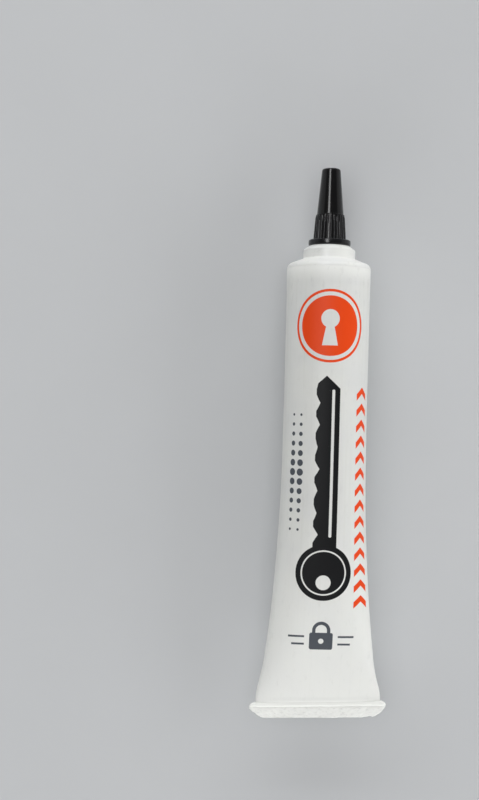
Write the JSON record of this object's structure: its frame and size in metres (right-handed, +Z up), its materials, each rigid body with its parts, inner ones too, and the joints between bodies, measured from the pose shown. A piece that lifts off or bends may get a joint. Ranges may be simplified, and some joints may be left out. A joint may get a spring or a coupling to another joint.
{
  "type": "graphite lock lubricant tube",
  "caption": "White plastic squeeze tube with a pinched, welded tail and a black ribbed screw cap over a fine spout, for puffing dry graphite powder into locks.",
  "frame": {"origin": "middle of the tube's length, on the surface that the tube lies on, under its axis", "axes": "+Y along the tube towards the cap, +Z up out of the printed front, +X to the right of the front"},
  "size_m": [0.0408, 0.1652, 0.025],
  "materials": {
    "sleeve_plastic": "satin white polyethylene with a printed front",
    "head_plastic": "satin moulded white polyethylene",
    "graphite_powder": "loose dark grey powder",
    "wad_foam": "soft foamed washer",
    "cap_plastic": "semi-gloss moulded black plastic"
  },
  "bodies": {
    "tube": {"sleeve": "sleeve_plastic", "tube_head": "head_plastic", "graphite_charge": "graphite_powder"},
    "wad": {"cap_wad": "wad_foam"},
    "screw_cap": {"cap": "cap_plastic"}
  },
  "joints": [
    {"name": "cap_lift", "type": "slide", "parent": "tube", "child": "wad", "axis": [0, 1, 0], "range_m": [0, 0.024]},
    {"name": "cap_turn", "type": "hinge", "parent": "wad", "child": "screw_cap", "pos_m": [0, 0.06, 0.0125], "axis": [0, 1, 0], "range_deg": [0, 2160]}
  ],
  "couplings": [
    {"joint": "cap_lift", "follows": "cap_turn", "m_per_rad": 0.0006366}
  ]
}
